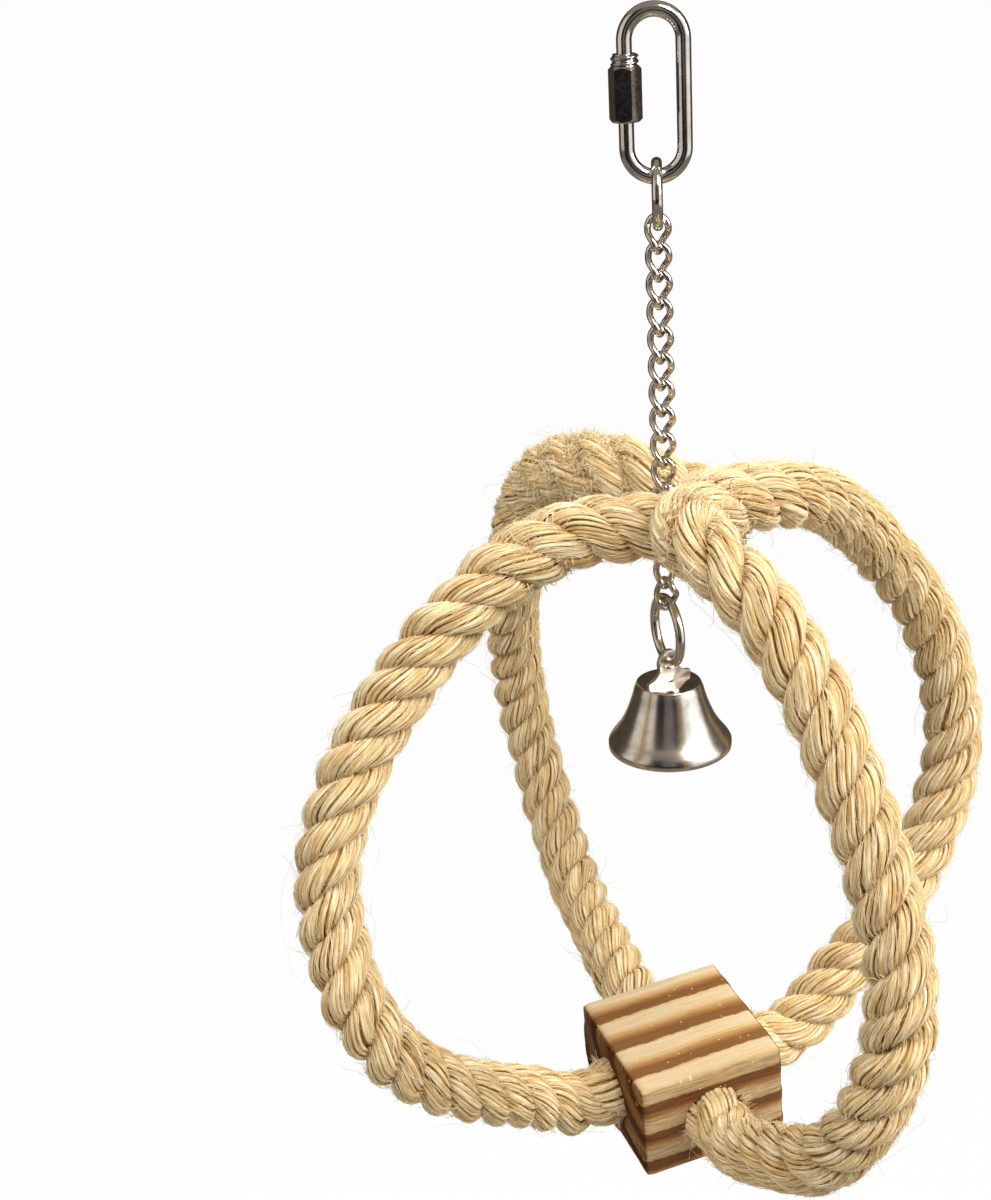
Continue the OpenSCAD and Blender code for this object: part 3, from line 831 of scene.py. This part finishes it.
def make_rope(name, start_side, route, end_side, seed, spots, materials):
    line = softened(rope_line(start_side, route, end_side), SOFTEN_REACH)
    data = rope_shape(line, seed, spots).mesh(name + "_laid", materials, "fibre")
    rope = place(name + "_laid", data, "cage", [name])


# Block

def ring_distance(p):
    """How far a point of the block is from the heart of the tree, at its top front edge."""
    wave = noise.noise(Vector((p.x * 0.035, p.y * 0.07, p.z * 0.07 + 5)))
    ripple = noise.noise(Vector((p.x * 0.12, p.y * 0.3, p.z * 0.3 + 11)))
    y = (p.y + BLOCK_W / 2) / RING_FLATNESS
    return math.hypot(y, BLOCK_H / 2 - p.z) + 0.6 * wave + 0.2 * ripple


def latewood(ring):
    """1 on the hard dark wood of a ring, 0 on the soft light wood."""
    phase = ((ring - RING_START) / RING_PITCH) % 1
    rise = min(max((phase - LATE_BEGIN) / LATE_RISE, 0), 1)
    fall = min(max((LATE_END - phase) / LATE_FALL, 0), 1)
    return max(rise, fall)


def make_block(material):
    """The block, remeshed finely, with its soft wood brushed back from the hard rings."""
    to_world = block_matrix()
    to_block = to_world.inverted()
    work = bmesh.new()
    work.from_mesh(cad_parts["wood_block"].data)
    bmesh.ops.remove_doubles(work, verts=work.verts, dist=1e-6)
    for vertex in work.verts:
        vertex.co = to_block @ (vertex.co / MM)
    data = bpy.data.meshes.new("block_source")
    work.to_mesh(data)
    work.free()
    source = bpy.data.objects.new("block_source", data)
    bpy.context.scene.collection.objects.link(source)
    remesh = source.modifiers.new("fine", "REMESH")
    remesh.mode = "VOXEL"
    remesh.voxel_size = VOXEL
    bpy.context.view_layer.update()
    fine = bpy.data.meshes.new_from_object(source.evaluated_get(bpy.context.evaluated_depsgraph_get()))
    bpy.data.objects.remove(source)
    points = [v.co.copy() for v in fine.vertices]
    normals = [v.normal.copy() for v in fine.vertices]
    marks = np.zeros((len(points), 3))
    moved = np.zeros((len(points), 3))
    for i, (p, n) in enumerate(zip(points, normals)):
        ring = ring_distance(p)
        soft = 1 - latewood(ring)
        end = min(max((abs(p.x) - END_FROM) / END_REACH, 0), 1)
        end = end * (1 if p.x < 0 else RIGHT_END_SHARE)
        grit = noise.noise(Vector((p.x * 0.3, ring * 2.2, (p.y + p.z) * 0.4)))
        depth = soft * (BRUSHED + BRUSHED_END * end) + GRIT * max(grit, 0) * (1 + 2 * end)
        marks[i] = (p.x, ring, p.y - p.z)
        moved[i] = to_world @ (p - n * depth)
    fine.vertices.foreach_set("co", (moved * MM).reshape(-1))
    attribute = fine.attributes.new("grain", "FLOAT_VECTOR", "POINT")
    attribute.data.foreach_set("vector", marks.reshape(-1))
    fine.materials.clear()
    fine.materials.append(material)
    fine.shade_smooth()
    place("wood_block_brushed", fine, "cage", ["wood_block"])


# Metal

def oval_point(share, half):
    straight = 2 * (half - LINK_ARC_R)
    bend = math.pi * LINK_ARC_R
    u = share * (2 * straight + 2 * bend)
    if u < bend:
        a = u / LINK_ARC_R
        return LINK_ARC_R * math.cos(a), straight / 2 + LINK_ARC_R * math.sin(a)
    if u < bend + straight:
        return -LINK_ARC_R, straight / 2 - (u - bend)
    if u < 2 * bend + straight:
        a = math.pi + (u - bend - straight) / LINK_ARC_R
        return LINK_ARC_R * math.cos(a), -straight / 2 + LINK_ARC_R * math.sin(a)
    return LINK_ARC_R, -straight / 2 + (u - 2 * bend - straight)


def link_point(share, half, turn):
    """A point on the middle line of a twisted link."""
    x, z = oval_point(share, half)
    t = min(max(0.5 - z / (2 * TWIST_SHARE * half), 0), 1)
    a = math.radians(TWIST * t * t * (3 - 2 * t) + turn)
    return x * math.cos(a), x * math.sin(a), z


def make_link(index, material):
    low = index - LONG_LINKS
    half = LINK_HALF if low < 0 else LOW_HALF
    z = FIRST_LINK_Z - index * LINK_PITCH if low < 0 else FIRST_LOW_Z - low * LOW_PITCH
    turn = CHAIN_TURN if low < 0 else (low + 1) * LOW_TURN
    path = np.array([link_point((i + 0.5) / LINK_STEPS, half, turn) for i in range(LINK_STEPS)])
    outward = path * (1, 1, 0.5)
    shape = Shape()
    normals = square_to(unit(outward), tangents(path, True))
    radius = LAST_LINK_R if index == LONG_LINKS + LOW_LINKS - 1 else LINK_WIRE_R
    add_tube(shape, path + (0, 0, z), radius, LINK_SIDES, normals, closed=True)
    name = f"chain_link_{index + 1:02d}"
    body = "cage" if index == CAGE_LINK else f"link_{index + 1:02d}"
    place(name + "_wire", shape.mesh(name, [material]), body, [name])


def make_quick_link(material):
    """The bent wire as one piece, from the threaded stub over the top and round to the lower end."""
    arc = np.linspace(0, math.pi, 49)
    stub_z = SLEEVE_TOP_Z - STUB_GRIP
    left = np.linspace(stub_z, QUICK_TOP_Z, 5)[:-1]
    right = np.linspace(QUICK_TOP_Z, QUICK_BOTTOM_Z, 13)[1:-1]
    rise = np.linspace(QUICK_BOTTOM_Z, stub_z - LEG_GAP, 9)[1:]
    top = np.stack([-QUICK_ARC_R * np.cos(arc), QUICK_TOP_Z + QUICK_ARC_R * np.sin(arc)], 1)
    bottom = np.stack([QUICK_ARC_R * np.cos(arc), QUICK_BOTTOM_Z - QUICK_ARC_R * np.sin(arc)], 1)
    flat = np.concatenate([
        [(-QUICK_ARC_R, z) for z in left], top, [(QUICK_ARC_R, z) for z in right], bottom,
        [(-QUICK_ARC_R, z) for z in rise]])
    path = np.stack([flat[:, 0], np.zeros(len(flat)), flat[:, 1]], 1)
    shape = Shape()
    side = np.tile(np.array([0.0, 1.0, 0.0]), (len(path), 1))
    add_tube(shape, path, QUICK_WIRE_R, QUICK_SIDES, side)
    data = shape.mesh("quick_link_wire", [material], sharp=SHARP_ANGLE)
    place("quick_link_wire", data, "quick_link", ["quick_link"])


def sleeve_radius(turn, z):
    """The outside of the sleeve: a chamfered hexagon, and the threaded collar over it."""
    hex_l = SLEEVE_L - COLLAR_L
    if z > hex_l:
        wave = 0.5 + 0.5 * math.cos(2 * math.pi * (z / THREAD_PITCH) - turn)
        ease = min((SLEEVE_L - z) / 0.5, 1)
        return COLLAR_R - THREAD_DEPTH * wave - 0.35 * (1 - ease)
    sector = (turn % (math.pi / 3)) - math.pi / 6
    flat = SLEEVE_HEX_R * math.cos(math.pi / 6) / math.cos(sector)
    chamfer = SLEEVE_HEX_R - SLEEVE_CHAMFER + min(z, hex_l - z)
    return min(flat, chamfer)


def make_sleeve(material):
    hex_l = SLEEVE_L - COLLAR_L
    heights = np.concatenate([
        np.linspace(0, 1.6, 15), np.linspace(2, hex_l - 2, 10), np.linspace(hex_l - 1.6, hex_l, 15),
        np.linspace(hex_l + 0.02, SLEEVE_L, 48)])
    turns = np.linspace(0, 2 * math.pi, SLEEVE_STEPS, endpoint=False)
    rows = [[(BORE_R, 0) for _ in turns]]
    rows += [[(sleeve_radius(t, z), z) for t in turns] for z in heights]
    rows += [[(BORE_R, SLEEVE_L) for _ in turns]]
    rows = np.array(rows)
    turned = turns + math.radians(SLEEVE_TURN)
    points = np.stack([
        rows[..., 0] * np.cos(turned) - QUICK_ARC_R, rows[..., 0] * np.sin(turned),
        rows[..., 1] + SLEEVE_TOP_Z - SLEEVE_L], -1)
    shape = Shape()
    shape.add(points, [wall(len(rows), len(turns), closed=True)])
    data = shape.mesh("sleeve", [material], sharp=24)
    place("quick_link_sleeve_threaded", data, "sleeve", ["quick_link_sleeve"])


def bell_side(inset, steps):
    """The bell's side from its top edge to its rim, as radius and height."""
    spread = BELL_RIM_R - BELL_TOP_R
    points = [(BELL_TOP_R - inset, -BELL_EDGE)]
    points += [(BELL_TOP_R + spread * share - inset, -BELL_H * down) for down, share in FLARE_SHARES]
    return smooth_line(points, steps)


def make_bell(material, polished):
    corner = [
        (BELL_TOP_R - BELL_EDGE * (1 - math.sin(a)), -BELL_EDGE * (1 - math.cos(a)))
        for a in np.linspace(0, math.pi / 2, 6)]
    foot = -BELL_H - BELL_LIP_H
    half_wall = BELL_WALL / 2
    lip = [
        (BELL_RIM_R - half_wall + half_wall * math.cos(a), foot + half_wall - half_wall * math.sin(a))
        for a in np.linspace(0, math.pi, 9)]
    outside = [(BELL_AXIS_R, 0), (BELL_DISC_R, 0)] + corner[:-1] + list(bell_side(0, 5)) + lip
    inside = list(bell_side(BELL_WALL, 5)[::-1][:-4])
    inner_top = [(BELL_TOP_R - BELL_WALL - BELL_EDGE, -BELL_WALL), (BELL_AXIS_R, -BELL_WALL)]
    shape = Shape()
    add_lathe(shape, np.array(outside + inside + inner_top) + (0, BELL_TOP_Z), BELL_STEPS)
    # The first two rows of faces are the flat top
    shape.slots[-1][:2 * BELL_STEPS] = 1
    data = shape.mesh("bell", [material, polished], sharp=55)
    place("bell_shell_spun", data, "bell", ["bell_shell"])


def make_clapper(material):
    staple_z = BELL_TOP_Z - BELL_WALL - STAPLE_DROP - CLAPPER_LOOP_R - CLAPPER_WIRE_R
    loop_z = staple_z - CLAPPER_LOOP_R + 2 * CLAPPER_WIRE_R + HANG_GAP - CLAPPER_LOOP_R
    stem_top = loop_z - CLAPPER_LOOP_R
    ball_z = stem_top - CLAPPER_STEM
    shape = Shape()
    add_ring(shape, loop_z, CLAPPER_LOOP_R, 90, CLAPPER_WIRE_R, steps=64, sides=14)
    neck = math.asin(CLAPPER_WIRE_R * 1.6 / CLAPPER_BALL_R)
    ball = [
        (max(CLAPPER_BALL_R * math.sin(a), CLAPPER_AXIS_R), ball_z + CLAPPER_BALL_R * math.cos(a))
        for a in np.linspace(math.pi, neck, 40)]
    stem = [
        (CLAPPER_WIRE_R, ball_z + CLAPPER_BALL_R + CLAPPER_NECK), (CLAPPER_WIRE_R, stem_top),
        (CLAPPER_AXIS_R, stem_top)]
    add_lathe(shape, np.array(ball + stem)[::-1], 48)
    data = shape.mesh("clapper", [material], sharp=60)
    place("bell_clapper_drop", data, "clapper", ["bell_clapper"])


def make_metal():
    wire = nickel("plated_wire", (0.80, 0.75, 0.70), 0.1, 0.06, bump=0.02)
    chain = nickel("plated_chain", (0.80, 0.74, 0.66), 0.16, 0.08, bump=0.015)
    sleeve = nickel("plated_sleeve", (0.62, 0.58, 0.55), 0.1, 0.1)
    bell = nickel("spun_bell", (0.84, 0.77, 0.69), 0.18, 0.09, brushed=1.0, bump=0.05)
    disc = nickel("bell_disc", (0.80, 0.75, 0.66), 0.07, 0.03, bump=0.01)
    plate = nickel("bell_plate", (0.66, 0.58, 0.47), 0.3, 0.08, bump=0.01)
    inner = nickel("zinc_wire", (0.5, 0.49, 0.48), 0.32, 0.15)
    pin = nickel("pin_steel", (0.33, 0.32, 0.31), 0.3, 0.15)
    make_quick_link(wire)
    make_sleeve(sleeve)
    quick_bottom = QUICK_BOTTOM_Z - QUICK_ARC_R + QUICK_WIRE_R
    top_ring_z = quick_bottom + TOP_RING_WIRE_R + HANG_GAP - TOP_RING_R
    ring = Shape()
    add_ring(ring, top_ring_z, TOP_RING_R, 90, TOP_RING_WIRE_R)
    place("top_ring_wire", ring.mesh("top_ring", [wire]), "top_ring", ["top_ring"])
    for index in range(LONG_LINKS + LOW_LINKS):
        make_link(index, chain)
    chain_bottom = FIRST_LOW_Z - 2 * LOW_PITCH - LOW_HALF + LINK_WIRE_R
    bell_ring_z = chain_bottom + BELL_RING_WIRE_R + HANG_GAP - BELL_RING_R
    ring = Shape()
    add_ring(ring, bell_ring_z, BELL_RING_R, BELL_RING_TURN, BELL_RING_WIRE_R)
    place("bell_ring_wire", ring.mesh("bell_ring", [chain]), "bell_ring", ["bell_ring"])
    make_bell(bell, disc)
    make_clapper(inner)
    refined("bell_hanger", "bell", plate, 0.14)
    refined("bell_staple", "bell", inner, 0.05)
    refined("apex_pin", "cage", pin, 0.2)
    refined("apex_washer", "cage", inner, 0.12)
    refined("rope_nails", "cage", pin, 0.15)


# Studio

def seen_directly(tree):
    """1 where the camera sees a thing itself, or in a reflection."""
    path = node(tree, "ShaderNodeLightPath").outputs
    bounced = maths(tree, "MAXIMUM", path["Is Glossy Ray"], path["Is Transmission Ray"])
    return maths(tree, "MAXIMUM", path["Is Camera Ray"], bounced)


def backdrop_material(name, colour, glow):
    """Pale and shadowed, with part of its brightness seen only directly or in a reflection."""
    material, tree, shader = new_material(name)
    shader.inputs["Base Color"].default_value = (*colour, 1)
    shader.inputs["Roughness"].default_value = 0.9
    seen = seen_directly(tree)
    light = node(tree, "ShaderNodeEmission", None, Color=(1, 1, 1, 1), Strength=1.0).outputs[0]
    share = maths(tree, "MULTIPLY", seen, glow)
    mix = node(
        tree, "ShaderNodeMixShader", None, in_0=share, in_1=shader.outputs[0], in_2=light).outputs[0]
    tree.links.new(mix, tree.nodes["Material Output"].inputs["Surface"])
    return material


def make_floor():
    data = bpy.data.meshes.new("floor")
    signs = ((-1, -1), (1, -1), (1, 1), (-1, 1))
    corners = [(x * FLOOR_HALF, y * FLOOR_HALF, FLOOR_Z) for x, y in signs]
    data.from_pydata(corners, [], [(0, 1, 2, 3)])
    data.materials.append(backdrop_material("floor", (0.86, 0.86, 0.86), 0.97))
    floor = bpy.data.objects.new("floor", data)
    bpy.context.scene.collection.objects.link(floor)


def make_card(name, middle, spread, low, high, colour, far=CARD_R):
    """An upright card round the middle, from one turn to another in degrees."""
    columns = CARD_STEPS + 1
    turns = np.radians(np.linspace(middle - spread, middle + spread, columns))
    points = [(far * math.cos(t), far * math.sin(t), z) for z in (low, high) for t in turns]
    faces = [(i, i + 1, i + columns + 1, i + columns) for i in range(CARD_STEPS)]
    add_card(name, points, faces, colour)


def add_card(name, points, faces, colour):
    """A glowing card that only polished metal sees, as in a product studio."""
    data = bpy.data.meshes.new(name)
    data.from_pydata(points, [], faces)
    material, tree, _ = new_material(name)
    light = node(tree, "ShaderNodeEmission", None, Color=(*colour, 1), Strength=1.0)
    tree.links.new(light.outputs[0], tree.nodes["Material Output"].inputs["Surface"])
    data.materials.append(material)
    card = bpy.data.objects.new(name, data)
    bpy.context.scene.collection.objects.link(card)
    card.visible_camera = False
    card.visible_diffuse = False
    card.visible_shadow = False
    card.visible_transmission = False


def make_lamp(name, place_at, size, power):
    data = bpy.data.lights.new(name, "AREA")
    data.shape = "RECTANGLE"
    data.size, data.size_y = size
    data.energy = power
    lamp = bpy.data.objects.new(name, data)
    lamp.location = place_at
    lamp.visible_glossy = name in ("key", "side")
    aim = Vector(STUDIO_MIDDLE) - Vector(place_at)
    lamp.rotation_euler = aim.to_track_quat("-Z", "Y").to_euler()
    bpy.context.scene.collection.objects.link(lamp)


def make_world():
    world = bpy.data.worlds.new("studio")
    bpy.context.scene.world = world
    world.use_nodes = True
    tree = world.node_tree
    strength = node(
        tree, "ShaderNodeMapRange", None,
        Value=seen_directly(tree), in_1=0.0, in_2=1.0, in_3=0.15, in_4=1.0)
    tree.links.new(strength.outputs[0], tree.nodes["Background"].inputs["Strength"])
    tree.nodes["Background"].inputs["Color"].default_value = (1, 1, 1, 1)


def make_studio():
    make_floor()
    make_world()
    make_lamp("key", (0.55, -0.7, 0.95), (0.5, 0.5), 13.4)
    make_lamp("side", (0.95, -0.3, 0.35), (0.3, 0.7), 9.5)
    make_lamp("back", (-0.2, 0.95, 0.8), (0.6, 0.4), 9)
    make_lamp("fill", (-0.7, -0.6, 0.8), (0.5, 0.5), 9)
    make_card("card_front", -96.5, 33.5, CARD_LOW, CARD_HIGH, (0.012, 0.011, 0.01))
    make_card("card_lens", -92, 12, -0.2, CARD_HIGH, (0.17, 0.155, 0.16), 1.5)
    make_card("card_edge", -57, 5.5, CARD_LOW, CARD_HIGH, (0.36, 0.30, 0.22))
    make_card("card_left_low", -157.5, 27.5, CARD_LOW, -0.3, (0.13, 0.115, 0.1))
    make_card("card_left_high", -157.5, 27.5, -0.3, CARD_HIGH, (0.72, 0.68, 0.62))
    make_card("card_back", 91.5, 83.5, CARD_LOW, CARD_HIGH, (0.075, 0.058, 0.042))
    turns = np.radians(np.arange(0, 360, 15))
    top = [(CARD_R * math.cos(t), CARD_R * math.sin(t), CARD_HIGH) for t in turns]
    add_card("card_top", top, [tuple(range(len(top)))], (0.3, 0.27, 0.23))
    bottom = [(x, y, CARD_LOW) for x, y, _ in top]
    add_card("card_bottom", bottom, [tuple(range(len(top)))], (0.22, 0.2, 0.17))
    bpy.context.scene.view_settings.view_transform = "Standard"


make_camera()
rope_materials = [
    sisal("sisal_yarn", (0.43, 0.235, 0.065), (0.79, 0.57, 0.265), (0.98, 0.90, 0.67), shade_gaps=True),
    sisal("sisal_loose_fibre", (0.60, 0.40, 0.17), (0.90, 0.73, 0.43), (0.99, 0.94, 0.76)),
    # The core's darker colours are painted shade for the deep spaces between yarns
    sisal("sisal_core_shade", (0.26, 0.13, 0.04), (0.38, 0.22, 0.07), (0.52, 0.33, 0.12))]
make_rope("rope_left", 180, LEFT_ROUTE, 90, 11, LEFT_SPOTS, rope_materials)
make_rope("rope_right", 270, RIGHT_ROUTE, 0, 23, RIGHT_SPOTS, rope_materials)
make_block(pine())
make_metal()
make_studio()
